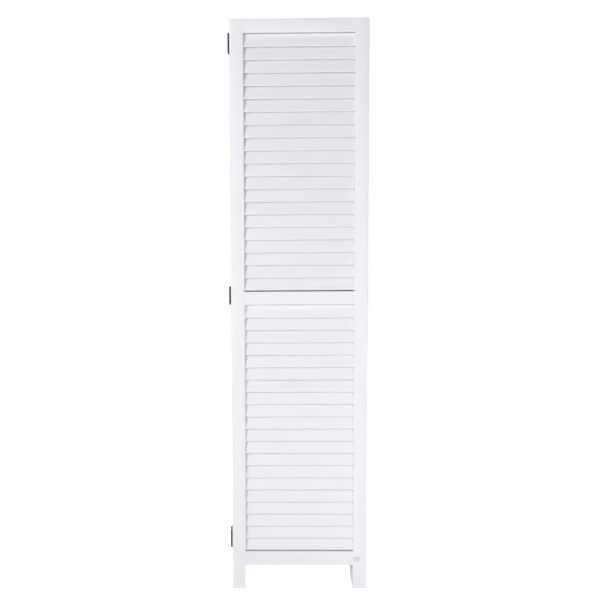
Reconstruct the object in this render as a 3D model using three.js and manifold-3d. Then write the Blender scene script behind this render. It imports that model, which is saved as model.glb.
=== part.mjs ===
// A four-panel folding room divider screen with fixed louvre slats, folded flat.
// Units are millimetres, +Z is up, and the front panel's outer face looks along -Y.
// Panel 1 is in front and panel 4 at the back. Seams 1-2 and 3-4 are hinged on the left, seam 2-3 on the right.
import * as THREE from "three";
import { mergeVertices } from "three/addons/utils/BufferGeometryUtils.js";
import Module from "manifold-3d";

const wasm = await Module();
wasm.setup();

// Clearance between neighbouring pieces.
const GAP = 0.3;

// Panels.
const PANEL_COUNT = 4;
const PANEL_WIDTH = 406;
const PANEL_DEPTH = 18;
const FOLDED_SPACE = 2;
const PANEL_PITCH = PANEL_DEPTH + FOLDED_SPACE;
const STILE_WIDTH = 40;
const WINDOW_WIDTH = PANEL_WIDTH - 2 * STILE_WIDTH;
const EDGE_CHAMFER = 1.5;
const LEFT = -1;
const RIGHT = 1;

// Heights up a panel, from the floor: foot, bottom rail, lower window, middle rail, upper window, top rail.
const FOOT_HEIGHT = 73.5;
const BOTTOM_RAIL_HEIGHT = 43.5;
const WINDOW_HEIGHT = 753.5;
const MIDDLE_RAIL_HEIGHT = 39;
const TOP_RAIL_HEIGHT = 39;
const LOWER_WINDOW_Z = FOOT_HEIGHT + BOTTOM_RAIL_HEIGHT;
const MIDDLE_RAIL_Z = LOWER_WINDOW_Z + WINDOW_HEIGHT;
const UPPER_WINDOW_Z = MIDDLE_RAIL_Z + MIDDLE_RAIL_HEIGHT;
const TOP_RAIL_Z = UPPER_WINDOW_Z + WINDOW_HEIGHT;
const PANEL_HEIGHT = TOP_RAIL_Z + TOP_RAIL_HEIGHT;
const RAILS = [
  { name: "bottom_rail", z: FOOT_HEIGHT, height: BOTTOM_RAIL_HEIGHT },
  { name: "middle_rail", z: MIDDLE_RAIL_Z, height: MIDDLE_RAIL_HEIGHT },
  { name: "top_rail", z: TOP_RAIL_Z, height: TOP_RAIL_HEIGHT },
];
const WINDOWS = [
  { name: "lower_louvre", z: LOWER_WINDOW_Z },
  { name: "upper_louvre", z: UPPER_WINDOW_Z },
];

// Stub tenons join the rails to the stiles.
const TENON_LENGTH = 22;
const TENON_THICKNESS = 7;
const TENON_SHOULDER = 6;

// Louvre slats lean back at the top. A hidden strip joins their ends and sits in a groove in each stile.
const SLAT_COUNT = 20;
const SLAT_WIDTH = 40;
const SLAT_THICKNESS = 5;
const SLAT_TILT = THREE.MathUtils.degToRad(15);
const SLAT_PITCH = 37.4;
const TOP_SLAT_DROP = 40.5;
const STRIP_THICKNESS = 4;
const STRIP_WIDTH = 7;
const STRIP_LAP = 0.5;

// Butt hinges lie on the stiles' narrow edges, with their barrels in line with the seams.
const HINGE_HEIGHTS = { bottom: 150, middle: 896, top: 1640 };
const LEAF_HEIGHT = 50;
const LEAF_WIDTH = 15.5;
const LEAF_THICKNESS = 1.1;
const LEAF_CORNER = 2;
const BARREL_RADIUS = 2.6;
const KNUCKLE_COUNT = 3;
const KNUCKLE_HEIGHT = (LEAF_HEIGHT - (KNUCKLE_COUNT - 1) * GAP) / KNUCKLE_COUNT;
const PIN_RADIUS = 1.3;
const PIN_HEAD_RADIUS = 2.4;
const PIN_HEAD_TOP_RADIUS = 1.7;
const PIN_HEAD_HEIGHT = 1.2;
const HINGE_AXIS_X = PANEL_WIDTH / 2 + GAP + BARREL_RADIUS;
const SCREW_HOLE_RADIUS = 1.9;
const SCREW_SPACING = 17;
const SCREW_INSET = 8;
const SCREW_STAGGER = 2.4;
const BARREL_SEGMENTS = 12;
const HOLE_HALF_SEGMENTS = 4;

// A thin blank label on the front panel's right stile, level with the bottom rail.
const LABEL_WIDTH = 19;
const LABEL_HEIGHT = 14;
const LABEL_THICKNESS = 0.5;
const LABEL_X = 173;
const LABEL_Z = 93.5;

const paintedWood = new THREE.MeshStandardMaterial({ color: 0xdedee0, roughness: 0.6 });
const hingeMetal = new THREE.MeshStandardMaterial({ color: 0x3a3a3c, roughness: 0.45, metalness: 0.8 });
const pinMetal = new THREE.MeshStandardMaterial({ color: 0x4a4a4c, roughness: 0.4, metalness: 0.8 });
const labelPaper = new THREE.MeshStandardMaterial({ color: 0xa8a8aa, roughness: 0.7 });

// ---------- solids ----------

function solidOf(geometry) {
  geometry.deleteAttribute("normal");
  geometry.deleteAttribute("uv");
  const welded = mergeVertices(geometry, 1e-4);
  return new wasm.Manifold(new wasm.Mesh({
    numProp: 3,
    vertProperties: new Float32Array(welded.attributes.position.array),
    triVerts: new Uint32Array(welded.index.array),
  }));
}

function meshOf(name, solid, material) {
  const { vertProperties, triVerts } = solid.getMesh();
  const geometry = new THREE.BufferGeometry();
  geometry.setAttribute("position", new THREE.BufferAttribute(new Float32Array(vertProperties), 3));
  geometry.setIndex(new THREE.BufferAttribute(new Uint32Array(triVerts), 1));
  geometry.computeVertexNormals();
  const mesh = new THREE.Mesh(geometry, material.clone());
  mesh.name = name;
  return mesh;
}

function span(a, b) {
  return { middle: (a + b) / 2, length: Math.abs(b - a) };
}

// A block between two opposite corners, given as [x, y, z].
function block(from, to) {
  const [x, y, z] = from.map((value, axis) => span(value, to[axis]));
  const geometry = new THREE.BoxGeometry(x.length, y.length, z.length);
  return solidOf(geometry.translate(x.middle, y.middle, z.middle));
}

// A round bar or cone along Z, in line with a hinge's axis.
function barrel(x, y, z0, z1, lowRadius, highRadius = lowRadius) {
  const z = span(z0, z1);
  const geometry = new THREE.CylinderGeometry(highRadius, lowRadius, z.length, BARREL_SEGMENTS);
  return solidOf(geometry.rotateX(Math.PI / 2).translate(x, y, z.middle));
}

// A width by height rectangle about the origin.
function rectangle(width, height) {
  const [u, v] = [width / 2, height / 2];
  return [[u, -v], [u, v], [-u, v], [-u, -v]].map(([a, b]) => new THREE.Vector2(a, b));
}

// The same with its corners cut off.
function chamferedRectangle(width, height, chamfer) {
  const [u, v] = [width / 2, height / 2];
  return [
    [u - chamfer, -v], [u, -v + chamfer], [u, v - chamfer], [u - chamfer, v],
    [-u + chamfer, v], [-u, v - chamfer], [-u, -v + chamfer], [-u + chamfer, -v],
  ].map(([a, b]) => new THREE.Vector2(a, b));
}

// Sweeps an x-y section up from z0 to z1.
function barAlongZ(section, z0, z1) {
  const geometry = new THREE.ExtrudeGeometry(new THREE.Shape(section), { depth: z1 - z0, bevelEnabled: false });
  return solidOf(geometry.translate(0, 0, z0));
}

// Sweeps a y-z section along X from x0 to x1.
function barAlongX(section, x0, x1) {
  const geometry = new THREE.ExtrudeGeometry(new THREE.Shape(section), { depth: x1 - x0, bevelEnabled: false });
  const turn = new THREE.Matrix4().makeBasis(
    new THREE.Vector3(0, 1, 0),
    new THREE.Vector3(0, 0, 1),
    new THREE.Vector3(1, 0, 0),
  );
  return solidOf(geometry.applyMatrix4(turn).translate(x0, 0, 0));
}

// ---------- one panel ----------

function panelY(panel) {
  return (panel - (PANEL_COUNT + 1) / 2) * PANEL_PITCH;
}

function stile(side, y) {
  const middle = side * (PANEL_WIDTH - STILE_WIDTH) / 2;
  const section = chamferedRectangle(STILE_WIDTH, PANEL_DEPTH, EDGE_CHAMFER)
    .map((point) => point.add(new THREE.Vector2(middle, y)));
  const innerX = side * WINDOW_WIDTH / 2;
  let solid = barAlongZ(section, 0, PANEL_HEIGHT);
  for (const window of WINDOWS) {
    const halfWidth = STRIP_WIDTH / 2 + GAP;
    solid = solid.subtract(block(
      [innerX - side, y - halfWidth, window.z],
      [innerX + side * (STRIP_THICKNESS + GAP), y + halfWidth, window.z + WINDOW_HEIGHT],
    ));
  }
  for (const rail of RAILS) {
    const halfThickness = TENON_THICKNESS / 2 + GAP;
    solid = solid.subtract(block(
      [innerX - side, y - halfThickness, rail.z + TENON_SHOULDER - GAP],
      [innerX + side * (TENON_LENGTH + GAP), y + halfThickness, rail.z + rail.height - TENON_SHOULDER + GAP],
    ));
  }
  return solid;
}

function rail(z, height, y) {
  const shoulderX = WINDOW_WIDTH / 2 - GAP;
  const tenonX = WINDOW_WIDTH / 2 + TENON_LENGTH;
  const section = chamferedRectangle(PANEL_DEPTH, height, EDGE_CHAMFER)
    .map((point) => point.add(new THREE.Vector2(y, z + height / 2)));
  const tenons = block(
    [-tenonX, y - TENON_THICKNESS / 2, z + TENON_SHOULDER],
    [tenonX, y + TENON_THICKNESS / 2, z + height - TENON_SHOULDER],
  );
  return barAlongX(section, -shoulderX, shoulderX).add(tenons);
}

function louvrePack(z, y) {
  const endX = WINDOW_WIDTH / 2 - GAP;
  const slatRise = SLAT_WIDTH * Math.cos(SLAT_TILT) + SLAT_THICKNESS * Math.sin(SLAT_TILT);
  const topSlatZ = z + WINDOW_HEIGHT - TOP_SLAT_DROP + slatRise / 2;
  let solid = block(
    [-endX - STRIP_THICKNESS, y - STRIP_WIDTH / 2, z + GAP],
    [-endX + STRIP_LAP, y + STRIP_WIDTH / 2, z + WINDOW_HEIGHT - GAP],
  ).add(block(
    [endX - STRIP_LAP, y - STRIP_WIDTH / 2, z + GAP],
    [endX + STRIP_THICKNESS, y + STRIP_WIDTH / 2, z + WINDOW_HEIGHT - GAP],
  ));
  for (let slat = 0; slat < SLAT_COUNT; slat += 1) {
    const centre = new THREE.Vector2(y, topSlatZ - slat * SLAT_PITCH);
    const section = rectangle(SLAT_THICKNESS, SLAT_WIDTH)
      .map((point) => point.rotateAround(new THREE.Vector2(), -SLAT_TILT).add(centre));
    solid = solid.add(barAlongX(section, -endX, endX));
  }
  return solid;
}

function panelMeshes(panel) {
  const y = panelY(panel);
  const meshes = [
    meshOf(`panel_${panel}_left_stile`, stile(LEFT, y), paintedWood),
    meshOf(`panel_${panel}_right_stile`, stile(RIGHT, y), paintedWood),
  ];
  for (const { name, z, height } of RAILS) {
    meshes.push(meshOf(`panel_${panel}_${name}`, rail(z, height, y), paintedWood));
  }
  for (const { name, z } of WINDOWS) {
    meshes.push(meshOf(`panel_${panel}_${name}`, louvrePack(z, y), paintedWood));
  }
  return meshes;
}

// ---------- hinges ----------

// The knuckles are counted up from the bottom: the front leaf has the outer ones, the rear leaf the middle one.
function knuckleZ(knuckle, z) {
  return z - LEAF_HEIGHT / 2 + knuckle * (KNUCKLE_HEIGHT + GAP);
}

// The leaf's outline, drawn with the hinge axis at 0 and the leaf reaching towards +u.
function leafOutline(ownKnuckles, z) {
  const shape = new THREE.Shape();
  const notchU = BARREL_RADIUS + GAP;
  const [low, high] = [z - LEAF_HEIGHT / 2, z + LEAF_HEIGHT / 2];
  shape.moveTo(LEAF_WIDTH - LEAF_CORNER, low);
  shape.lineTo(LEAF_WIDTH, low + LEAF_CORNER);
  shape.lineTo(LEAF_WIDTH, high - LEAF_CORNER);
  shape.lineTo(LEAF_WIDTH - LEAF_CORNER, high);
  for (let knuckle = KNUCKLE_COUNT - 1; knuckle >= 0; knuckle -= 1) {
    const own = ownKnuckles.includes(knuckle);
    const reach = own ? 0 : notchU;
    const margin = own ? 0 : GAP;
    const bottom = knuckleZ(knuckle, z);
    shape.lineTo(reach, Math.min(bottom + KNUCKLE_HEIGHT + margin, high));
    shape.lineTo(reach, Math.max(bottom - margin, low));
  }
  shape.closePath();
  shape.holes = screwPlaces(z).map(([u, holeZ]) => {
    const hole = new THREE.Path();
    hole.absarc(u, holeZ, SCREW_HOLE_RADIUS, 0, 2 * Math.PI);
    return hole;
  });
  return shape;
}

function screwPlaces(z) {
  return [-1, 0, 1].map((step) => [
    SCREW_INSET + (step === 0 ? SCREW_STAGGER : 0),
    z + step * SCREW_SPACING,
  ]);
}

// A leaf of a hinge at height z. The leaf reaches towards +Y or -Y (leafWay) from the axis.
function hingeLeaf(side, seamY, z, leafWay, ownKnuckles) {
  const axisX = side * HINGE_AXIS_X;
  const plate = new THREE.ExtrudeGeometry(leafOutline(ownKnuckles, z), {
    depth: LEAF_THICKNESS,
    bevelEnabled: false,
    curveSegments: HOLE_HALF_SEGMENTS,
  });
  const outlineToLeaf = new THREE.Matrix4().makeBasis(
    new THREE.Vector3(0, leafWay, 0),
    new THREE.Vector3(0, 0, 1),
    new THREE.Vector3(leafWay, 0, 0),
  );
  const faceX = side * (PANEL_WIDTH / 2 + GAP + LEAF_THICKNESS / 2) - leafWay * LEAF_THICKNESS / 2;
  let solid = solidOf(plate.applyMatrix4(outlineToLeaf).translate(faceX, seamY, 0));
  for (const knuckle of ownKnuckles) {
    const bottom = knuckleZ(knuckle, z);
    solid = solid.add(barrel(axisX, seamY, bottom, bottom + KNUCKLE_HEIGHT, BARREL_RADIUS));
  }
  return solid.subtract(barrel(axisX, seamY, z - LEAF_HEIGHT, z + LEAF_HEIGHT, PIN_RADIUS + GAP));
}

function hingePin(side, seamY, z) {
  const axisX = side * HINGE_AXIS_X;
  const reach = LEAF_HEIGHT / 2 + GAP;
  const tip = reach + PIN_HEAD_HEIGHT;
  const shaft = barrel(axisX, seamY, z - tip + GAP, z + tip - GAP, PIN_RADIUS);
  const topHead = barrel(axisX, seamY, z + reach, z + tip, PIN_HEAD_RADIUS, PIN_HEAD_TOP_RADIUS);
  const bottomHead = barrel(axisX, seamY, z - tip, z - reach, PIN_HEAD_TOP_RADIUS, PIN_HEAD_RADIUS);
  return shaft.add(topHead).add(bottomHead);
}

function seamMeshes(seam) {
  const side = seam % 2 === 1 ? LEFT : RIGHT;
  const seamY = (panelY(seam) + panelY(seam + 1)) / 2;
  return Object.entries(HINGE_HEIGHTS).flatMap(([height, z]) => {
    const name = `hinge_${seam}_${seam + 1}_${height}`;
    return [
      meshOf(`${name}_front_leaf`, hingeLeaf(side, seamY, z, -1, [0, 2]), hingeMetal),
      meshOf(`${name}_rear_leaf`, hingeLeaf(side, seamY, z, 1, [1]), hingeMetal),
      meshOf(`${name}_pin`, hingePin(side, seamY, z), pinMetal),
    ];
  });
}

// ---------- label ----------

function label() {
  const faceY = panelY(1) - PANEL_DEPTH / 2 - GAP;
  return block(
    [LABEL_X - LABEL_WIDTH / 2, faceY - LABEL_THICKNESS, LABEL_Z - LABEL_HEIGHT / 2],
    [LABEL_X + LABEL_WIDTH / 2, faceY, LABEL_Z + LABEL_HEIGHT / 2],
  );
}

const screen = new THREE.Group();
screen.name = "folding_screen";
for (let panel = 1; panel <= PANEL_COUNT; panel += 1) {
  screen.add(...panelMeshes(panel));
}
for (let seam = 1; seam < PANEL_COUNT; seam += 1) {
  screen.add(...seamMeshes(seam));
}
screen.add(meshOf("panel_1_label", label(), labelPaper));

export default screen;
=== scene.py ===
"""The looks of a white louvred folding screen of four panels, folded flat. Metres, +Z up."""

import math

import bmesh
import bpy
from mathutils import Matrix, Vector


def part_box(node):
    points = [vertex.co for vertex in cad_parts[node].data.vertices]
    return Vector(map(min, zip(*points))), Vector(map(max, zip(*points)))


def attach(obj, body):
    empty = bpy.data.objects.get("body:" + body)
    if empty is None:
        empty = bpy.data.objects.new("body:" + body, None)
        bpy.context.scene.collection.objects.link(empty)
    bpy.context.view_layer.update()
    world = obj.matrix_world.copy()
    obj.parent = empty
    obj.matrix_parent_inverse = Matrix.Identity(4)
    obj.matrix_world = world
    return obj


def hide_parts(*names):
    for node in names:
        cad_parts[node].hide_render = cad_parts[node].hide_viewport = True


MM = 0.001

# Panels and seams, front to back. Seams 1 and 3 are hinged on the left edge, seam 2 on the right.
PANELS = (1, 2, 3, 4)
SEAMS = (1, 2, 3)
HINGE_PLACES = ("bottom", "middle", "top")
RAILS = ("bottom_rail", "middle_rail", "top_rail")

# Rounding of the sanded boards.
STILE_OUTER_RADIUS = 1.8 * MM
STILE_INNER_RADIUS = 0.15 * MM
RAIL_RADIUS = 1.4 * MM
BOARD_END_EASING = 0.8 * MM
RAIL_END_EASING = 0.05 * MM
CORNER_STEPS = 4

# The share of a corner's radius that is left, at least, where a board's end is eased.
EASED_RADIUS_SHARE = 0.3

# The edge angle where smooth shading breaks, and the distance within which points are joined.
SHARP_ANGLE = math.radians(35)
WELD_DISTANCE = 0.002 * MM

# Louvre slats.
SLAT_COUNT = 20
SLAT_PITCH = 37.4 * MM
SLAT_WIDTH = 40 * MM
SLAT_THICKNESS = 5 * MM
SLAT_ROUNDING = 1.9 * MM
SLAT_ROUNDING_STEPS = 5
SLAT_TILT = math.radians(15)
SLAT_LOOSENESS = math.radians(0.5)
SLAT_HOUSING = 3 * MM
SLAT_BOW = 0.35 * MM
SLAT_BOW_STEPS = 24
SLAT_BOW_WAVES = 7.0
SLAT_BOW_SWING = 4.0
SLAT_SEED_STEP = 10
TOP_SLAT_DROP = 40.5 * MM

# Board numbers, which set each board's own grain: stiles come first, and slats draw theirs at random.
FIRST_RAIL_BOARD = 11.0
SLAT_BOARD_RANGE = 50.0

# Noise cycles per metre along and across the grain, and how many metres each board number shifts them.
FIGURE_STRETCH = (5.0, 150.0, 150.0)
PORE_STRETCH = (28.0, 950.0, 950.0)
BRUSH_STRETCH = (12.0, 420.0, 420.0)
CLOUD_STRETCH = (6.0, 9.0, 9.0)
KNOT_STRETCH = (3.4, 12.0, 12.0)
BOARD_SHIFT = (17.0, 5.3, 9.1)

# Butt hinges.
LEAF_WIDTH = 15.5 * MM
LEAF_THICKNESS = 1.1 * MM
LEAF_CORNER = 2.2 * MM
LEAF_CORNER_STEPS = 6
LEAF_EASING = 0.15 * MM
HINGE_GAP = 0.3 * MM
BARREL_RADIUS = 2.6 * MM
PIN_RADIUS = 1.3 * MM
PIN_HEAD_RADIUS = 2.35 * MM
PIN_HEAD_EASING = 0.2 * MM
KNUCKLE_COUNT = 3
FRONT_KNUCKLES = (0, 2)
REAR_KNUCKLES = (1,)
KNUCKLE_EASING = 0.3 * MM
TURNED_SEGMENTS = 32

# The pin head's dome, as shares of its radius and of its height.
PIN_DOME = ((1.0, 0.35), (0.9, 0.65), (0.65, 0.88), (0.3, 0.98))

# Countersunk wood screws.
SCREW_HEAD_RADIUS = 2.5 * MM
SCREW_HEAD_STEPS = 32
SCREW_HOLE_RADIUS = 2.7 * MM
SCREW_HOLE_STEPS = 28
SCREW_SUNK = 0.05 * MM
SCREW_SPACING = 17 * MM
SCREW_INSET = 8 * MM
SCREW_STAGGER = 2.4 * MM
SCREW_SLOT_WIDTH = 0.7 * MM
SCREW_SLOT_LENGTH = 3.2 * MM
SCREW_SLOT_DEPTH = 0.6 * MM
SCREW_SEED = 5

# A screw head: the share of its radius where the rim starts to slope, the slope, and the skirt below.
SCREW_RIM_START = 0.9
SCREW_RIM_SLOPE = 1.2 * MM
SCREW_SKIRT_SHARE = 0.75
SCREW_SKIRT_DEPTH = 0.9 * MM

LABEL_EASING = 0.1 * MM

# Camera: offsets in metres, turns in degrees. Its distance is taken from the front face.
CAMERA_X = -0.164
CAMERA_DISTANCE = 2.6
CAMERA_HEIGHT = 1.100
CAMERA_YAW = -1.20
CAMERA_PITCH = 4.72
CAMERA_ROLL = -0.42
CAMERA_LENS = 52.62
CAMERA_SHIFT_X = 0.1237

# Studio: half the floor's width, brightness of the surround and the floor as seen and as lights, and
# round softboxes.
FLOOR_HALF = 8.0
SURROUND_SEEN = 1.0
SURROUND_LIGHT = 0.13
FLOOR_SEEN = 0.9
FLOOR_LIGHT = 0.13
SOFTBOXES = {
    "high_key": {"place": (-3.9, -4.4, 3.5), "target": (0.0, -0.04, 0.9), "size": 1.0, "power": 121.0},
    "side_key": {"place": (-2.4, -2.1, 1.5), "target": (0.0, -0.04, 0.9), "size": 0.5, "power": 30.0},
    "low_fill": {"place": (1.3, -2.4, 0.5), "target": (0.0, -0.04, 0.5), "size": 1.0, "power": 22.0},
    "back_fill": {"place": (2.2, 2.8, 3.6), "target": (0.0, 0.04, 1.0), "size": 2.0, "power": 110.0},
}


# ---------- shader helpers ----------

def add_node(tree, kind, values=None, **settings):
    """A node with its settings, and its inputs as plain values or as sockets to link from."""
    node = tree.nodes.new(kind)
    for name, setting in settings.items():
        setattr(node, name, setting)
    for socket, value in (values or {}).items():
        if isinstance(value, bpy.types.NodeSocket):
            tree.links.new(value, node.inputs[socket])
        else:
            node.inputs[socket].default_value = value
    return node


def maths(tree, operation, *values, clamp=False):
    """The result of a Math node."""
    inputs = dict(enumerate(values))
    return add_node(tree, "ShaderNodeMath", inputs, operation=operation, use_clamp=clamp).outputs[0]


def vector_maths(tree, operation, *values):
    """The result of a Vector Math node."""
    return add_node(tree, "ShaderNodeVectorMath", dict(enumerate(values)), operation=operation).outputs[0]


def remap(tree, value, low, high, to_low=0.0, to_high=1.0):
    """value taken smoothly from low..high to to_low..to_high."""
    values = {"Value": value, "From Min": low, "From Max": high, "To Min": to_low, "To Max": to_high}
    return add_node(tree, "ShaderNodeMapRange", values, interpolation_type="SMOOTHSTEP").outputs[0]


def mix_colours(tree, factor, first, second):
    """first blended into second by factor."""
    node = add_node(tree, "ShaderNodeMix", {0: factor, 6: first, 7: second}, data_type="RGBA")
    return node.outputs[2]


def new_group(name, inputs, outputs):
    """A shader group with named sockets. Returns the tree, its input sockets by name and its output node."""
    tree = bpy.data.node_groups.new(name, "ShaderNodeTree")
    for socket, kind, value in inputs:
        item = tree.interface.new_socket(socket, in_out="INPUT", socket_type=kind)
        if value is not None:
            item.default_value = value
    for socket, kind in outputs:
        tree.interface.new_socket(socket, in_out="OUTPUT", socket_type=kind)
    sockets = tree.nodes.new("NodeGroupInput").outputs
    return tree, sockets, tree.nodes.new("NodeGroupOutput")


def painted_grain_group():
    """Wood grain, knots and brush marks under thin white paint. The grain runs along the Position's X."""
    tree, given, result = new_group(
        "Painted grain",
        [
            ("Position", "NodeSocketVector", None),
            ("Board", "NodeSocketFloat", 0.0),
            ("Paint", "NodeSocketColor", (0.8, 0.8, 0.82, 1.0)),
            ("Knot tint", "NodeSocketColor", (0.7, 0.65, 0.62, 1.0)),
            ("Knot strength", "NodeSocketFloat", 0.5),
            ("Grain strength", "NodeSocketFloat", 0.5),
        ],
        [("Colour", "NodeSocketColor"), ("Roughness", "NodeSocketFloat"), ("Height", "NodeSocketFloat")],
    )
    shifts = {
        axis: maths(tree, "MULTIPLY", given["Board"], amount)
        for axis, amount in enumerate(BOARD_SHIFT)
    }
    shift = add_node(tree, "ShaderNodeCombineXYZ", shifts).outputs[0]
    place = vector_maths(tree, "ADD", given["Position"], shift)

    def noise(stretch, detail, roughness=0.5):
        where = vector_maths(tree, "MULTIPLY", place, stretch)
        values = {"Vector": where, "Scale": 1.0, "Detail": detail, "Roughness": roughness}
        return add_node(tree, "ShaderNodeTexNoise", values).outputs[0]

    figure = noise(FIGURE_STRETCH, 3.0)
    pores = noise(PORE_STRETCH, 2.0, 0.65)
    brush = noise(BRUSH_STRETCH, 2.0)
    cloud = noise(CLOUD_STRETCH, 1.0)

    knot_place = vector_maths(tree, "MULTIPLY", place, KNOT_STRETCH)
    knots = add_node(tree, "ShaderNodeTexVoronoi", {"Vector": knot_place, "Scale": 1.0, "Randomness": 1.0})
    rarity = add_node(tree, "ShaderNodeSeparateColor", {0: knots.outputs["Color"]}).outputs[0]
    some = remap(tree, rarity, 0.4, 0.7)
    halo = remap(tree, knots.outputs["Distance"], 0.32, 0.02)
    knot = maths(tree, "MULTIPLY", some, halo)
    knot = maths(tree, "MULTIPLY", knot, given["Knot strength"], clamp=True)

    streak = remap(tree, figure, 0.35, 0.7)
    streak = maths(tree, "MULTIPLY", streak, given["Grain strength"], clamp=True)
    patch = remap(tree, cloud, 0.3, 0.75, 0.0, 0.35)
    shade = maths(tree, "ADD", maths(tree, "MULTIPLY", streak, 0.4), maths(tree, "MULTIPLY", patch, 0.35))
    shade = maths(tree, "ADD", shade, knot, clamp=True)
    colour = mix_colours(tree, shade, given["Paint"], given["Knot tint"])

    gloss = maths(tree, "ADD", remap(tree, brush, 0.3, 0.7, 0.4, 0.52), maths(tree, "MULTIPLY", knot, 0.1))
    height = maths(tree, "ADD", maths(tree, "MULTIPLY", pores, 0.3), maths(tree, "MULTIPLY", brush, 0.3))
    tree.links.new(colour, result.inputs["Colour"])
    tree.links.new(gloss, result.inputs["Roughness"])
    tree.links.new(height, result.inputs["Height"])
    return tree


def worn_metal_group():
    """Uneven dark lacquer: blotches, fine speckle and brighter rubbed spots."""
    tree, given, result = new_group(
        "Worn lacquer",
        [
            ("Position", "NodeSocketVector", None),
            ("Lacquer", "NodeSocketColor", (0.05, 0.05, 0.05, 1.0)),
            ("Rubbed", "NodeSocketColor", (0.2, 0.2, 0.2, 1.0)),
            ("Wear", "NodeSocketFloat", 0.4),
        ],
        [("Colour", "NodeSocketColor"), ("Roughness", "NodeSocketFloat"), ("Height", "NodeSocketFloat")],
    )

    def noise(scale, detail):
        values = {"Vector": given["Position"], "Scale": scale, "Detail": detail}
        return add_node(tree, "ShaderNodeTexNoise", values).outputs[0]

    blotch = noise(160.0, 4.0)
    speckle = noise(1400.0, 2.0)
    rub = maths(tree, "MULTIPLY", remap(tree, blotch, 0.45, 0.72), given["Wear"], clamp=True)
    colour = mix_colours(tree, rub, given["Lacquer"], given["Rubbed"])
    tree.links.new(colour, result.inputs["Colour"])
    tree.links.new(remap(tree, speckle, 0.3, 0.7, 0.34, 0.5), result.inputs["Roughness"])
    tree.links.new(speckle, result.inputs["Height"])
    return tree


def new_material(name):
    """An empty node material. Returns it with its tree and its Principled shader."""
    material = bpy.data.materials.new(name)
    material.use_nodes = True
    tree = material.node_tree
    return material, tree, tree.nodes["Principled BSDF"]


def place_group(tree, shader, group, values, bump_strength, bump_distance):
    """Puts an effect group before the shader's colour, roughness and normal."""
    node = add_node(tree, "ShaderNodeGroup", values, node_tree=group)
    tree.links.new(node.outputs["Colour"], shader.inputs["Base Color"])
    tree.links.new(node.outputs["Roughness"], shader.inputs["Roughness"])
    bump = add_node(tree, "ShaderNodeBump", {
        "Strength": bump_strength,
        "Distance": bump_distance,
        "Height": node.outputs["Height"],
    })
    tree.links.new(bump.outputs["Normal"], shader.inputs["Normal"])


def painted_wood(name, upright, knot_strength):
    """White painted wood with its grain along Z if upright, and along X if not."""
    material, tree, shader = new_material(name)
    position = add_node(tree, "ShaderNodeTexCoord").outputs["Object"]
    turn = (0.0, math.radians(90), 0.0) if upright else (0.0, 0.0, 0.0)
    grain = add_node(tree, "ShaderNodeMapping", {"Vector": position, "Rotation": turn}).outputs[0]
    board = add_node(tree, "ShaderNodeAttribute", attribute_name="board").outputs["Fac"]
    place_group(tree, shader, GRAIN, {
        "Position": grain,
        "Board": board,
        "Paint": (0.86, 0.868, 0.898, 1.0),
        "Knot tint": (0.82, 0.775, 0.775, 1.0),
        "Knot strength": knot_strength,
        "Grain strength": 0.35,
    }, bump_strength=0.25, bump_distance=0.25 * MM)
    shader.inputs["IOR"].default_value = 1.46
    return material


def dark_metal(name, lacquer, rubbed, wear):
    """Dark lacquered steel."""
    material, tree, shader = new_material(name)
    position = add_node(tree, "ShaderNodeTexCoord").outputs["Object"]
    place_group(tree, shader, LACQUER, {
        "Position": position,
        "Lacquer": lacquer,
        "Rubbed": rubbed,
        "Wear": wear,
    }, bump_strength=0.2, bump_distance=0.1 * MM)
    shader.inputs["Metallic"].default_value = 0.75
    return material


def label_film():
    """Plain grey film with a slight mottle."""
    material, tree, shader = new_material("label_film")
    position = add_node(tree, "ShaderNodeTexCoord").outputs["Object"]
    values = {"Vector": position, "Scale": 700.0, "Detail": 2.0}
    mottle = add_node(tree, "ShaderNodeTexNoise", values).outputs[0]
    colour = mix_colours(tree, mottle, (0.66, 0.665, 0.68, 1.0), (0.73, 0.735, 0.75, 1.0))
    tree.links.new(colour, shader.inputs["Base Color"])
    tree.links.new(remap(tree, mottle, 0.3, 0.7, 0.35, 0.45), shader.inputs["Roughness"])
    return material


# ---------- mesh helpers ----------

def new_piece(name, mesh, body, replaced):
    """Links a finished mesh as a piece that rides on a body and stands for CAD nodes."""
    piece = bpy.data.objects.new(name, mesh)
    bpy.context.scene.collection.objects.link(piece)
    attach(piece, body)
    if replaced:
        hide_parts(*replaced)
    return piece


def finish_mesh(mesh, material):
    """Smooth shading with crisp edges, normals outward, one material."""
    work = bmesh.new()
    work.from_mesh(mesh)
    bmesh.ops.recalc_face_normals(work, faces=work.faces)
    work.to_mesh(mesh)
    work.free()
    mesh.shade_smooth()
    mesh.set_sharp_from_angle(angle=SHARP_ANGLE)
    mesh.materials.clear()
    mesh.materials.append(material)
    return mesh


def mark_board(mesh, number):
    """Gives the whole mesh one board number, so that no two boards share their grain."""
    attribute = mesh.attributes.new("board", "FLOAT", "POINT")
    attribute.data.foreach_set("value", [number] * len(mesh.vertices))


def rounded_outline(width, height, radii, steps):
    """Points round a rectangle about the origin. radii are for its corners (+,+), (-,+), (-,-) and (+,-)."""
    points = []
    signs = ((1, 1), (-1, 1), (-1, -1), (1, -1))
    for corner, ((sx, sy), radius) in enumerate(zip(signs, radii)):
        middle = Vector((sx * (width / 2 - radius), sy * (height / 2 - radius)))
        for step in range(steps + 1):
            angle = math.radians(90) * (corner + step / steps)
            points.append(middle + radius * Vector((math.cos(angle), math.sin(angle))))
    return points


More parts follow.
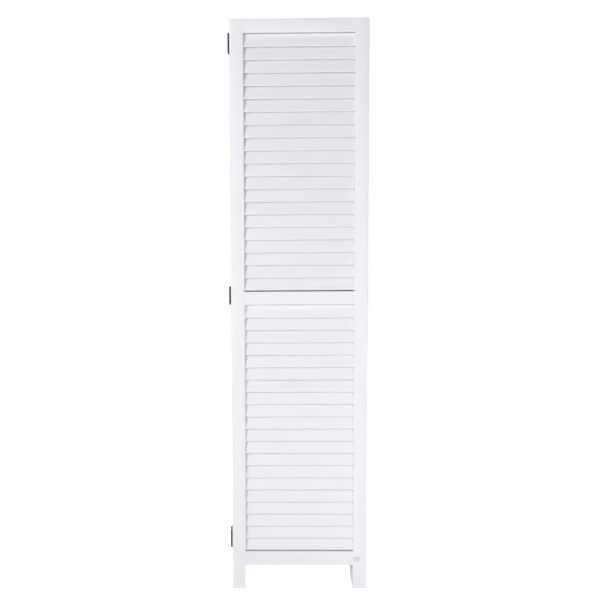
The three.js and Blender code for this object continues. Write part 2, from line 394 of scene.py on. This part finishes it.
def board_mesh(name, low, high, along, radii, easing):
    """A board between two corners, its long way along axis 0 (X) or 2 (Z), with rounded long edges."""
    across = [axis for axis in range(3) if axis != along]
    size = high - low
    middle = (high + low) / 2
    rings = [
        (low[along], easing),
        (low[along] + easing, 0.0),
        (high[along] - easing, 0.0),
        (high[along], easing),
    ]
    vertices = []
    for station, inset in rings:
        shrunk = [max(radius - inset, radius * EASED_RADIUS_SHARE) for radius in radii]
        width, height = (size[axis] - 2 * inset for axis in across)
        outline = rounded_outline(width, height, shrunk, CORNER_STEPS)
        for point in outline:
            vertex = [0.0, 0.0, 0.0]
            vertex[along] = station
            vertex[across[0]] = middle[across[0]] + point.x
            vertex[across[1]] = middle[across[1]] + point.y
            vertices.append(vertex)
    count = len(vertices) // len(rings)
    faces = [list(range(count)), list(range(len(vertices) - count, len(vertices)))]
    for ring in range(len(rings) - 1):
        for point in range(count):
            here = ring * count + point
            there = ring * count + (point + 1) % count
            faces.append([here, there, there + count, here + count])
    mesh = bpy.data.meshes.new(name)
    mesh.from_pydata(vertices, [], faces)
    return mesh


def turned_mesh(name, profile, x, y):
    """A body of revolution about the upright line at x, y. The profile is (radius, z) points, round a closed
    section, or from axis to axis."""
    on_axis = profile[0][0] == 0
    work = bmesh.new()
    rings = []
    for radius, z in profile:
        if radius == 0:
            rings.append([work.verts.new((x, y, z))] * TURNED_SEGMENTS)
            continue
        angles = [2 * math.pi * step / TURNED_SEGMENTS for step in range(TURNED_SEGMENTS)]
        places = [(x + radius * math.cos(a), y + radius * math.sin(a), z) for a in angles]
        rings.append([work.verts.new(place) for place in places])
    pairs = list(zip(rings, rings[1:]))
    if not on_axis:
        pairs.append((rings[-1], rings[0]))
    for lower, upper in pairs:
        for step in range(TURNED_SEGMENTS):
            following = (step + 1) % TURNED_SEGMENTS
            corners = [lower[step], lower[following], upper[following], upper[step]]
            work.faces.new(list(dict.fromkeys(corners)))
    mesh = bpy.data.meshes.new(name)
    work.to_mesh(mesh)
    work.free()
    return mesh


def plate_mesh(name, outlines, thickness, easing):
    """A flat plate in the XY plane, centred on it: the first outline is its edge and the others are holes."""
    curve = bpy.data.curves.new(name, "CURVE")
    curve.dimensions = "2D"
    curve.fill_mode = "BOTH"
    curve.extrude = thickness / 2 - easing
    curve.bevel_depth = easing
    curve.bevel_resolution = 1
    curve.offset = -easing
    for outline in outlines:
        spline = curve.splines.new("POLY")
        spline.points.add(len(outline) - 1)
        for point, (u, v) in zip(spline.points, outline):
            point.co = (u, v, 0.0, 1.0)
        spline.use_cyclic_u = True
    holder = bpy.data.objects.new(name, curve)
    bpy.context.scene.collection.objects.link(holder)
    bpy.context.view_layer.update()
    mesh = bpy.data.meshes.new_from_object(holder.evaluated_get(bpy.context.evaluated_depsgraph_get()))
    bpy.data.objects.remove(holder)
    bpy.data.curves.remove(curve)
    weld(mesh)
    return mesh


def weld(mesh):
    """Joins points that lie on each other."""
    work = bmesh.new()
    work.from_mesh(mesh)
    bmesh.ops.remove_doubles(work, verts=work.verts, dist=WELD_DISTANCE)
    work.to_mesh(mesh)
    work.free()


def joined(name, meshes):
    """One mesh made of several."""
    work = bmesh.new()
    for mesh in meshes:
        work.from_mesh(mesh)
        bpy.data.meshes.remove(mesh)
    result = bpy.data.meshes.new(name)
    work.to_mesh(result)
    work.free()
    return result


# ---------- geometry nodes ----------

def new_tree(name, inputs):
    """A Geometry Nodes tree with named inputs. Returns the tree, its input sockets and its output node."""
    tree = bpy.data.node_groups.new(name, "GeometryNodeTree")
    tree.interface.new_socket("Geometry", in_out="INPUT", socket_type="NodeSocketGeometry")
    for socket, kind in inputs:
        tree.interface.new_socket(socket, in_out="INPUT", socket_type=kind)
    tree.interface.new_socket("Geometry", in_out="OUTPUT", socket_type="NodeSocketGeometry")
    sockets = tree.nodes.new("NodeGroupInput").outputs
    return tree, sockets, tree.nodes.new("NodeGroupOutput")


def grow(name, points, attributes, tree, values):
    """The plain mesh that a tree makes from points. attributes are vectors on the points, by name."""
    seed_mesh = bpy.data.meshes.new(name + "_points")
    seed_mesh.from_pydata(points, [], [])
    for attribute, vectors in attributes.items():
        layer = seed_mesh.attributes.new(attribute, "FLOAT_VECTOR", "POINT")
        layer.data.foreach_set("vector", [part for vector in vectors for part in vector])
    holder = bpy.data.objects.new(name + "_points", seed_mesh)
    bpy.context.scene.collection.objects.link(holder)
    modifier = holder.modifiers.new("tree", "NODES")
    modifier.node_group = tree
    for item in tree.interface.items_tree:
        if item.in_out == "INPUT" and item.name in values:
            modifier[item.identifier] = values[item.name]
    bpy.context.view_layer.update()
    grown = bpy.data.meshes.new_from_object(holder.evaluated_get(bpy.context.evaluated_depsgraph_get()))
    grown.name = name
    holder.modifiers.clear()
    bpy.data.objects.remove(holder)
    bpy.data.meshes.remove(seed_mesh)
    return grown


def slat_tree():
    """From the middle of each window's top edge, a ladder of rounded slats that lean back at the top."""
    tree, given, result = new_tree("Louvre slats", [
        ("Slat count", "NodeSocketInt"),
        ("Pitch", "NodeSocketFloat"),
        ("Drop", "NodeSocketFloat"),
        ("Width", "NodeSocketFloat"),
        ("Thickness", "NodeSocketFloat"),
        ("Rounding", "NodeSocketFloat"),
        ("Length", "NodeSocketFloat"),
        ("Tilt", "NodeSocketFloat"),
        ("Bow", "NodeSocketFloat"),
        ("Seed", "NodeSocketInt"),
        ("Material", "NodeSocketMaterial"),
    ])
    step = add_node(tree, "ShaderNodeCombineXYZ", {2: maths(tree, "MULTIPLY", given["Pitch"], -1.0)})
    start = add_node(tree, "ShaderNodeCombineXYZ", {2: maths(tree, "MULTIPLY", given["Drop"], -1.0)})
    ladder = add_node(tree, "GeometryNodeMeshLine", {
        "Count": given["Slat count"],
        "Start Location": start.outputs[0],
        "Offset": step.outputs[0],
    })
    ladders = add_node(tree, "GeometryNodeInstanceOnPoints", {
        "Points": given["Geometry"],
        "Instance": ladder.outputs[0],
    })
    rungs = add_node(tree, "GeometryNodeRealizeInstances", {"Geometry": ladders.outputs[0]})

    section = add_node(tree, "GeometryNodeCurvePrimitiveQuadrilateral", {
        "Width": given["Thickness"],
        "Height": given["Width"],
    })
    rounded = add_node(tree, "GeometryNodeFilletCurve", {
        "Curve": section.outputs[0],
        "Radius": given["Rounding"],
        "Count": SLAT_ROUNDING_STEPS,
    }, mode="POLY")
    half = maths(tree, "MULTIPLY", given["Length"], 0.5)
    left_end = add_node(tree, "ShaderNodeCombineXYZ", {0: maths(tree, "MULTIPLY", half, -1.0)})
    right_end = add_node(tree, "ShaderNodeCombineXYZ", {0: half})
    run = add_node(tree, "GeometryNodeCurvePrimitiveLine", {
        "Start": left_end.outputs[0],
        "End": right_end.outputs[0],
    })
    stepped = add_node(tree, "GeometryNodeResampleCurve", {"Curve": run.outputs[0], "Count": SLAT_BOW_STEPS})
    slat = add_node(tree, "GeometryNodeCurveToMesh", {
        "Curve": stepped.outputs[0],
        "Profile Curve": rounded.outputs[0],
        "Fill Caps": True,
    })

    looseness = add_node(tree, "FunctionNodeRandomValue", {
        "Min": -SLAT_LOOSENESS,
        "Max": SLAT_LOOSENESS,
        "Seed": given["Seed"],
    }, data_type="FLOAT")
    lean = maths(tree, "SUBTRACT", looseness.outputs[1], given["Tilt"])
    turn = add_node(tree, "ShaderNodeCombineXYZ", {0: lean})
    slats = add_node(tree, "GeometryNodeInstanceOnPoints", {
        "Points": rungs.outputs[0],
        "Instance": slat.outputs[0],
        "Rotation": turn.outputs[0],
    })
    number = add_node(tree, "FunctionNodeRandomValue", {
        "Min": 0.0,
        "Max": SLAT_BOARD_RANGE,
        "Seed": maths(tree, "ADD", given["Seed"], 1.0),
    }, data_type="FLOAT")
    marked = add_node(tree, "GeometryNodeStoreNamedAttribute", {
        "Geometry": slats.outputs[0],
        "Name": "board",
        "Value": number.outputs[1],
    }, data_type="FLOAT", domain="INSTANCE")
    solid = add_node(tree, "GeometryNodeRealizeInstances", {"Geometry": marked.outputs[0]})

    place = add_node(tree, "GeometryNodeInputPosition").outputs[0]
    along = add_node(tree, "ShaderNodeSeparateXYZ", {0: place}).outputs[0]
    board = add_node(tree, "GeometryNodeInputNamedAttribute", {"Name": "board"}, data_type="FLOAT")
    spread = maths(tree, "MULTIPLY", along, SLAT_BOW_WAVES)
    where = add_node(tree, "ShaderNodeCombineXYZ", {0: spread, 1: board.outputs[0]})
    wander = add_node(tree, "ShaderNodeTexNoise", {"Vector": where.outputs[0], "Scale": 1.0, "Detail": 1.0})
    swing = maths(tree, "MULTIPLY", maths(tree, "SUBTRACT", wander.outputs[0], 0.5), SLAT_BOW_SWING)
    bow = add_node(tree, "ShaderNodeCombineXYZ", {1: maths(tree, "MULTIPLY", swing, given["Bow"])})
    bowed = add_node(tree, "GeometryNodeSetPosition", {
        "Geometry": solid.outputs[0],
        "Offset": bow.outputs[0],
    })
    painted = add_node(tree, "GeometryNodeSetMaterial", {
        "Geometry": bowed.outputs[0],
        "Material": given["Material"],
    })
    tree.links.new(painted.outputs[0], result.inputs[0])
    return tree


def screw_tree():
    """On each point, a screw head facing along the point's facing attribute and turned at random."""
    tree, given, result = new_tree("Hinge screws", [
        ("Screw head", "NodeSocketObject"),
        ("Seed", "NodeSocketInt"),
        ("Material", "NodeSocketMaterial"),
    ])
    head = add_node(tree, "GeometryNodeObjectInfo", {"Object": given["Screw head"]})
    facing = add_node(tree, "GeometryNodeInputNamedAttribute", {"Name": "facing"}, data_type="FLOAT_VECTOR")
    spin = add_node(tree, "FunctionNodeRandomValue", {
        "Min": 0.0,
        "Max": math.pi,
        "Seed": given["Seed"],
    }, data_type="FLOAT")
    outward = facing.outputs["Attribute"]
    aim = add_node(tree, "FunctionNodeAlignRotationToVector", {"Vector": outward}, axis="Z")
    aimed = add_node(tree, "GeometryNodeInstanceOnPoints", {
        "Points": given["Geometry"],
        "Instance": head.outputs["Geometry"],
        "Rotation": aim.outputs[0],
    })
    turn = add_node(tree, "ShaderNodeCombineXYZ", {2: spin.outputs[1]})
    spun = add_node(tree, "GeometryNodeRotateInstances", {
        "Instances": aimed.outputs[0],
        "Rotation": turn.outputs[0],
        "Local Space": True,
    })
    solid = add_node(tree, "GeometryNodeRealizeInstances", {"Geometry": spun.outputs[0]})
    finished = add_node(tree, "GeometryNodeSetMaterial", {
        "Geometry": solid.outputs[0],
        "Material": given["Material"],
    })
    tree.links.new(finished.outputs[0], result.inputs[0])
    return tree


# ---------- panels ----------

def panel_name(panel, part):
    return f"panel_{panel}_{part}"


def build_stile(panel, side):
    """One upright with its foot: softly rounded outside, nearly sharp where the rails meet it."""
    node = panel_name(panel, side + "_stile")
    low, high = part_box(node)
    outer, inner = STILE_OUTER_RADIUS, STILE_INNER_RADIUS
    if side == "right":
        radii = (outer, inner, inner, outer)
    else:
        radii = (inner, outer, outer, inner)
    mesh = board_mesh(node + "_board", low, high, 2, radii, BOARD_END_EASING)
    finish_mesh(mesh, UPRIGHT_WOOD)
    mark_board(mesh, 2.0 * panel + (side == "right"))
    return new_piece(node + "_board", mesh, f"panel_{panel}", [node])


def build_rail(panel, rail):
    """One rail, from stile to stile."""
    node = panel_name(panel, rail)
    low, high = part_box(node)
    low.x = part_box(panel_name(panel, "left_stile"))[1].x
    high.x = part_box(panel_name(panel, "right_stile"))[0].x
    mesh = board_mesh(node + "_board", low, high, 0, (RAIL_RADIUS,) * 4, RAIL_END_EASING)
    finish_mesh(mesh, LEVEL_WOOD)
    mark_board(mesh, FIRST_RAIL_BOARD + len(RAILS) * panel + RAILS.index(rail))
    return new_piece(node + "_board", mesh, f"panel_{panel}", [node])


def build_slats(panel):
    """Both windows' slats, housed a little way into the stiles."""
    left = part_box(panel_name(panel, "left_stile"))
    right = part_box(panel_name(panel, "right_stile"))
    y = (left[0].y + left[1].y) / 2
    tops = [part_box(panel_name(panel, rail))[0].z for rail in ("middle_rail", "top_rail")]
    rise = SLAT_WIDTH * math.cos(SLAT_TILT) + SLAT_THICKNESS * math.sin(SLAT_TILT)
    mesh = grow(f"panel_{panel}_slats", [(0.0, y, top) for top in tops], {}, SLATS, {
        "Slat count": SLAT_COUNT,
        "Pitch": SLAT_PITCH,
        "Drop": TOP_SLAT_DROP - rise / 2,
        "Width": SLAT_WIDTH,
        "Thickness": SLAT_THICKNESS,
        "Rounding": SLAT_ROUNDING,
        "Length": right[0].x - left[1].x + 2 * SLAT_HOUSING,
        "Tilt": SLAT_TILT,
        "Bow": SLAT_BOW,
        "Seed": SLAT_SEED_STEP * panel,
        "Material": LEVEL_WOOD,
    })
    finish_mesh(mesh, LEVEL_WOOD)
    nodes = [panel_name(panel, "lower_louvre"), panel_name(panel, "upper_louvre")]
    return new_piece(f"panel_{panel}_slats", mesh, f"panel_{panel}", nodes)


def build_panel(panel):
    for side in ("left", "right"):
        build_stile(panel, side)
    for rail in RAILS:
        build_rail(panel, rail)
    build_slats(panel)


# ---------- hinges ----------

class Hinge:
    """Where one hinge is, from its CAD pin and front leaf."""

    def __init__(self, seam, place):
        self.name = f"hinge_{seam}_{seam + 1}_{place}"
        self.front_body = f"panel_{seam}"
        self.rear_body = f"panel_{seam + 1}"
        pin_low, pin_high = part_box(self.name + "_pin")
        leaf_low, leaf_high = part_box(self.name + "_front_leaf")
        self.x = (pin_low.x + pin_high.x) / 2
        self.y = (pin_low.y + pin_high.y) / 2
        self.z = (pin_low.z + pin_high.z) / 2
        self.height = leaf_high.z - leaf_low.z
        self.outward = -1 if seam % 2 else 1
        self.pin_tip = (pin_high.z - pin_low.z) / 2

    def knuckle_span(self, knuckle):
        """The lowest and highest z of one knuckle, counted up from the bottom."""
        length = (self.height - (KNUCKLE_COUNT - 1) * HINGE_GAP) / KNUCKLE_COUNT
        low = self.z - self.height / 2 + knuckle * (length + HINGE_GAP)
        return low, low + length

    def leaf_outer_x(self):
        """The x of the leaf's outer face, which the screw heads are flush with."""
        return self.x - self.outward * (BARREL_RADIUS - LEAF_THICKNESS)

    def screw_places(self, way):
        """The y and z of each screw in the leaf that reaches along Y times way."""
        insets = (SCREW_INSET, SCREW_INSET + SCREW_STAGGER, SCREW_INSET)
        heights = (-SCREW_SPACING, 0.0, SCREW_SPACING)
        return [(self.y + way * inset, self.z + height) for inset, height in zip(insets, heights)]


def circle(u, v, radius, steps):
    """Points round a circle, against the outline's direction, so that it reads as a hole."""
    angles = [-2 * math.pi * step / steps for step in range(steps)]
    return [(u + radius * math.cos(angle), v + radius * math.sin(angle)) for angle in angles]


def leaf_outline(hinge, knuckles):
    """A leaf's edge with v up from the hinge's middle and u out from the barrel, notched round the other
    leaf's knuckles."""
    half = hinge.height / 2
    outline = []
    for corner_v, start in ((-half, -90), (half, 0)):
        middle_v = corner_v + math.copysign(LEAF_CORNER, -corner_v)
        for step in range(LEAF_CORNER_STEPS + 1):
            angle = math.radians(start + 90 * step / LEAF_CORNER_STEPS)
            outline.append((
                LEAF_WIDTH - LEAF_CORNER + LEAF_CORNER * math.cos(angle),
                middle_v + LEAF_CORNER * math.sin(angle),
            ))
    for knuckle in reversed(range(KNUCKLE_COUNT)):
        low, high = hinge.knuckle_span(knuckle)
        own = knuckle in knuckles
        u = 0.0 if own else BARREL_RADIUS + HINGE_GAP
        margin = 0.0 if own else HINGE_GAP
        outline.append((u, min(high - hinge.z + margin, half)))
        outline.append((u, max(low - hinge.z - margin, -half)))
    return outline


def build_leaf(hinge, which, way, knuckles, body):
    """A leaf with its countersunk holes and its share of the barrel's knuckles."""
    holes = [
        circle(abs(y - hinge.y), z - hinge.z, SCREW_HOLE_RADIUS, SCREW_HOLE_STEPS)
        for y, z in hinge.screw_places(way)
    ]
    plate = plate_mesh("plate", [leaf_outline(hinge, knuckles), *holes], LEAF_THICKNESS, LEAF_EASING)
    centre_x = hinge.leaf_outer_x() - hinge.outward * LEAF_THICKNESS / 2
    placing = Matrix((
        (0.0, 0.0, 1.0, centre_x),
        (float(way), 0.0, 0.0, hinge.y),
        (0.0, 1.0, 0.0, hinge.z),
        (0.0, 0.0, 0.0, 1.0),
    ))
    plate.transform(placing)
    parts = [plate]
    for knuckle in knuckles:
        low, high = hinge.knuckle_span(knuckle)
        bore = PIN_RADIUS + HINGE_GAP / 2
        profile = [
            (bore, low),
            (BARREL_RADIUS - KNUCKLE_EASING, low),
            (BARREL_RADIUS, low + KNUCKLE_EASING),
            (BARREL_RADIUS, high - KNUCKLE_EASING),
            (BARREL_RADIUS - KNUCKLE_EASING, high),
            (bore, high),
        ]
        parts.append(turned_mesh("knuckle", profile, hinge.x, hinge.y))
    name = f"{hinge.name}_{which}_leaf"
    mesh = finish_mesh(joined(name + "_plate", parts), HINGE_METAL)
    return new_piece(name + "_plate", mesh, body, [name])


def build_pin(hinge):
    """The pin, with a low domed head at each end."""
    neck = hinge.height / 2 + HINGE_GAP
    tip = hinge.pin_tip
    dome = tip - neck
    upper = [
        (PIN_RADIUS, neck),
        (PIN_HEAD_RADIUS - PIN_HEAD_EASING, neck),
        (PIN_HEAD_RADIUS, neck + PIN_HEAD_EASING),
        *((PIN_HEAD_RADIUS * width, neck + height * dome) for width, height in PIN_DOME),
        (0.0, tip),
    ]
    lower = [(radius, -z) for radius, z in reversed(upper)]
    profile = [(radius, hinge.z + z) for radius, z in lower + upper]
    name = hinge.name + "_pin"
    mesh = finish_mesh(turned_mesh(name + "_turned", profile, hinge.x, hinge.y), PIN_METAL)
    return new_piece(name + "_turned", mesh, hinge.front_body, [name])


def screw_head_mesh():
    """A countersunk head about the origin, facing +Z, with a cross recess pressed into its flat top."""
    work = bmesh.new()
    bmesh.ops.create_grid(
        work,
        x_segments=SCREW_HEAD_STEPS,
        y_segments=SCREW_HEAD_STEPS,
        size=SCREW_HEAD_RADIUS,
    )
    for vertex in work.verts:
        u, v = vertex.co.x, vertex.co.y
        square = max(abs(u), abs(v))
        distance = math.hypot(u, v)
        if distance > 0:
            vertex.co *= square / distance
        u, v = abs(vertex.co.x), abs(vertex.co.y)
        in_slot = min(u, v) < SCREW_SLOT_WIDTH / 2 and max(u, v) < SCREW_SLOT_LENGTH / 2
        rim = max(0.0, math.hypot(u, v) / SCREW_HEAD_RADIUS - SCREW_RIM_START)
        vertex.co.z = -SCREW_SLOT_DEPTH if in_slot else -SCREW_RIM_SLOPE * rim
    rim_edges = [edge for edge in work.edges if edge.is_boundary]
    skirt = bmesh.ops.extrude_edge_only(work, edges=rim_edges)
    lowered = [item for item in skirt["geom"] if isinstance(item, bmesh.types.BMVert)]
    for vertex in lowered:
        vertex.co.x *= SCREW_SKIRT_SHARE
        vertex.co.y *= SCREW_SKIRT_SHARE
        vertex.co.z = -SCREW_SKIRT_DEPTH
    bottom = [item for item in skirt["geom"] if isinstance(item, bmesh.types.BMEdge)]
    bmesh.ops.contextual_create(work, geom=bottom)
    bmesh.ops.recalc_face_normals(work, faces=work.faces)
    mesh = bpy.data.meshes.new("screw_head")
    work.to_mesh(mesh)
    work.free()
    return mesh


def build_screws(panel, hinges):
    """All the hinge screws in one panel."""
    head = bpy.data.objects.new("screw_head", screw_head_mesh())
    bpy.context.scene.collection.objects.link(head)
    points, facing = [], []
    for hinge in hinges:
        for body, way in ((hinge.front_body, -1), (hinge.rear_body, 1)):
            if body != f"panel_{panel}":
                continue
            for y, z in hinge.screw_places(way):
                points.append((hinge.leaf_outer_x() - hinge.outward * SCREW_SUNK, y, z))
                facing.append((float(hinge.outward), 0.0, 0.0))
    mesh = grow(f"panel_{panel}_screws", points, {"facing": facing}, SCREWS, {
        "Screw head": head,
        "Seed": SCREW_SEED + panel,
        "Material": PIN_METAL,
    })
    head_mesh = head.data
    bpy.data.objects.remove(head)
    bpy.data.meshes.remove(head_mesh)
    finish_mesh(mesh, PIN_METAL)
    return new_piece(f"panel_{panel}_screws", mesh, f"panel_{panel}", [])


def build_hinges():
    hinges = [Hinge(seam, place) for seam in SEAMS for place in HINGE_PLACES]
    for hinge in hinges:
        build_leaf(hinge, "front", -1, FRONT_KNUCKLES, hinge.front_body)
        build_leaf(hinge, "rear", 1, REAR_KNUCKLES, hinge.rear_body)
        build_pin(hinge)
    for panel in PANELS:
        build_screws(panel, hinges)


def build_label():
    """A thin blank film label."""
    low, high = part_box("panel_1_label")
    high.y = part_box("panel_1_right_stile")[0].y
    mesh = board_mesh("panel_1_label_film", low, high, 0, (LABEL_EASING,) * 4, LABEL_EASING)
    finish_mesh(mesh, LABEL_FILM)
    return new_piece("panel_1_label_film", mesh, "panel_1", ["panel_1_label"])


# ---------- studio ----------

def seen_and_light(tree, seen, light):
    """One strength for what is seen directly, another for the light that it gives."""
    direct = add_node(tree, "ShaderNodeLightPath").outputs["Is Camera Ray"]
    return remap(tree, direct, 0.0, 1.0, light, seen)


def build_floor():
    """A wide pale floor: bright to the camera, softer as a light."""
    mesh = bpy.data.meshes.new("studio_floor")
    signs = ((-1, -1), (1, -1), (1, 1), (-1, 1))
    corners = [(FLOOR_HALF * x, FLOOR_HALF * y, 0.0) for x, y in signs]
    mesh.from_pydata(corners, [], [(0, 1, 2, 3)])
    material, tree, shader = new_material("studio_floor")
    shader.inputs["Base Color"].default_value = (0.82, 0.82, 0.82, 1.0)
    shader.inputs["Roughness"].default_value = 0.9
    shader.inputs["Emission Color"].default_value = (1.0, 1.0, 1.0, 1.0)
    tree.links.new(seen_and_light(tree, FLOOR_SEEN, FLOOR_LIGHT), shader.inputs["Emission Strength"])
    mesh.materials.append(material)
    floor = bpy.data.objects.new("studio_floor", mesh)
    bpy.context.scene.collection.objects.link(floor)


def build_world():
    """A white surround: full white to the camera, softer as a light."""
    world = bpy.data.worlds.new("studio")
    world.use_nodes = True
    tree = world.node_tree
    background = tree.nodes["Background"]
    background.inputs["Color"].default_value = (1.0, 1.0, 1.0, 1.0)
    tree.links.new(seen_and_light(tree, SURROUND_SEEN, SURROUND_LIGHT), background.inputs["Strength"])
    bpy.context.scene.world = world


def add_softbox(name, place, target, size, power):
    """A round soft light aimed at a point."""
    light = bpy.data.lights.new(name, "AREA")
    light.shape = "DISK"
    light.size = size
    light.energy = power
    lamp = bpy.data.objects.new(name, light)
    lamp.location = place
    aim = Vector(target) - Vector(place)
    lamp.rotation_euler = aim.to_track_quat("-Z", "Y").to_euler()
    bpy.context.scene.collection.objects.link(lamp)


def build_camera(front_y):
    """A camera left of the screen's middle and above it, tilted down at its front face. The sideways shift
    keeps the screen in the middle of the view."""
    data = bpy.data.cameras.new("camera")
    data.sensor_width = 36.0
    data.lens = CAMERA_LENS
    data.shift_x = CAMERA_SHIFT_X
    data.clip_end = 60.0
    camera = bpy.data.objects.new("camera", data)
    camera.location = (CAMERA_X, front_y - CAMERA_DISTANCE, CAMERA_HEIGHT)
    yaw, pitch, roll = (math.radians(angle) for angle in (CAMERA_YAW, CAMERA_PITCH, CAMERA_ROLL))
    turn = Matrix.Rotation(-yaw, 4, "Z") @ Matrix.Rotation(math.radians(90) - pitch, 4, "X")
    camera.rotation_euler = (turn @ Matrix.Rotation(roll, 4, "Z")).to_euler()
    bpy.context.scene.collection.objects.link(camera)
    bpy.context.scene.camera = camera


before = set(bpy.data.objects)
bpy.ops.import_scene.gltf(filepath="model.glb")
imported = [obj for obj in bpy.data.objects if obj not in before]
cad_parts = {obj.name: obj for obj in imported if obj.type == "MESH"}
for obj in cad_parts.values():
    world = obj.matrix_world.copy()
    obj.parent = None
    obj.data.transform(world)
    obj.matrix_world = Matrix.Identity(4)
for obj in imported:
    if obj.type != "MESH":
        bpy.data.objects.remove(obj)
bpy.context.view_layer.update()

GRAIN = painted_grain_group()
LACQUER = worn_metal_group()
UPRIGHT_WOOD = painted_wood("painted_upright", upright=True, knot_strength=0.15)
LEVEL_WOOD = painted_wood("painted_level", upright=False, knot_strength=0.5)
HINGE_METAL = dark_metal("hinge_lacquer", (0.05, 0.05, 0.052, 1.0), (0.16, 0.16, 0.165, 1.0), 0.4)
PIN_METAL = dark_metal("pin_lacquer", (0.07, 0.07, 0.072, 1.0), (0.25, 0.25, 0.255, 1.0), 0.6)
LABEL_FILM = label_film()
SLATS = slat_tree()
SCREWS = screw_tree()

for panel_number in PANELS:
    build_panel(panel_number)
build_hinges()
build_label()

build_floor()
build_world()
for softbox, setting in SOFTBOXES.items():
    add_softbox(softbox, **setting)
build_camera(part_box("panel_1_left_stile")[0].y)
bpy.context.scene.view_settings.view_transform = "Standard"
